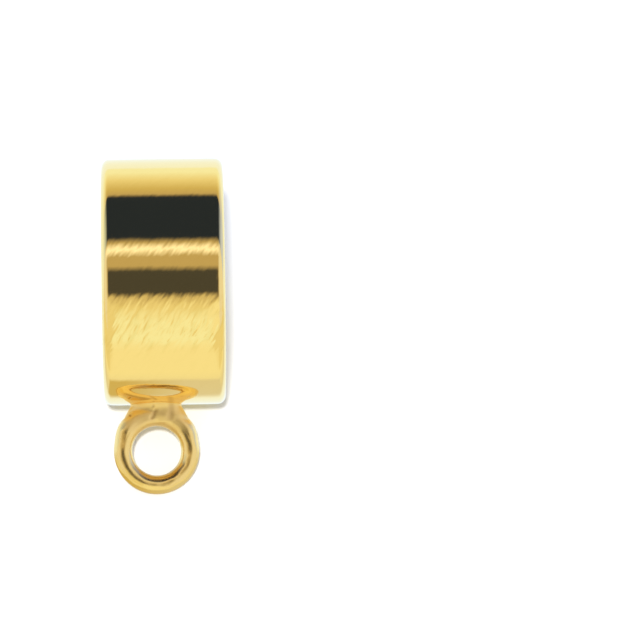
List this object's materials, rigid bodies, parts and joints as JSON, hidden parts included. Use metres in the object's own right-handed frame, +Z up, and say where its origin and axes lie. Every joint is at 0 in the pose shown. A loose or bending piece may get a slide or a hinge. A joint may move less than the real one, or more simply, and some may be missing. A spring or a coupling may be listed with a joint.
{
  "type": "cord connector",
  "caption": "Round polished band that slides over a thick cord, with a small wire loop soldered to its outside wall for hanging a drop or charm.",
  "frame": {"origin": "middle of the bore, on its axis", "axes": "+X along the bore, +Z up as the part lies at rest, with the loop pointing to -Y and down to the surface"},
  "size_m": [0.006, 0.0147, 0.012],
  "materials": {
    "gold_plate": "gold plated and polished to a mirror"
  },
  "bodies": {
    "root": {"band_and_loop": "gold_plate"}
  },
  "joints": []
}
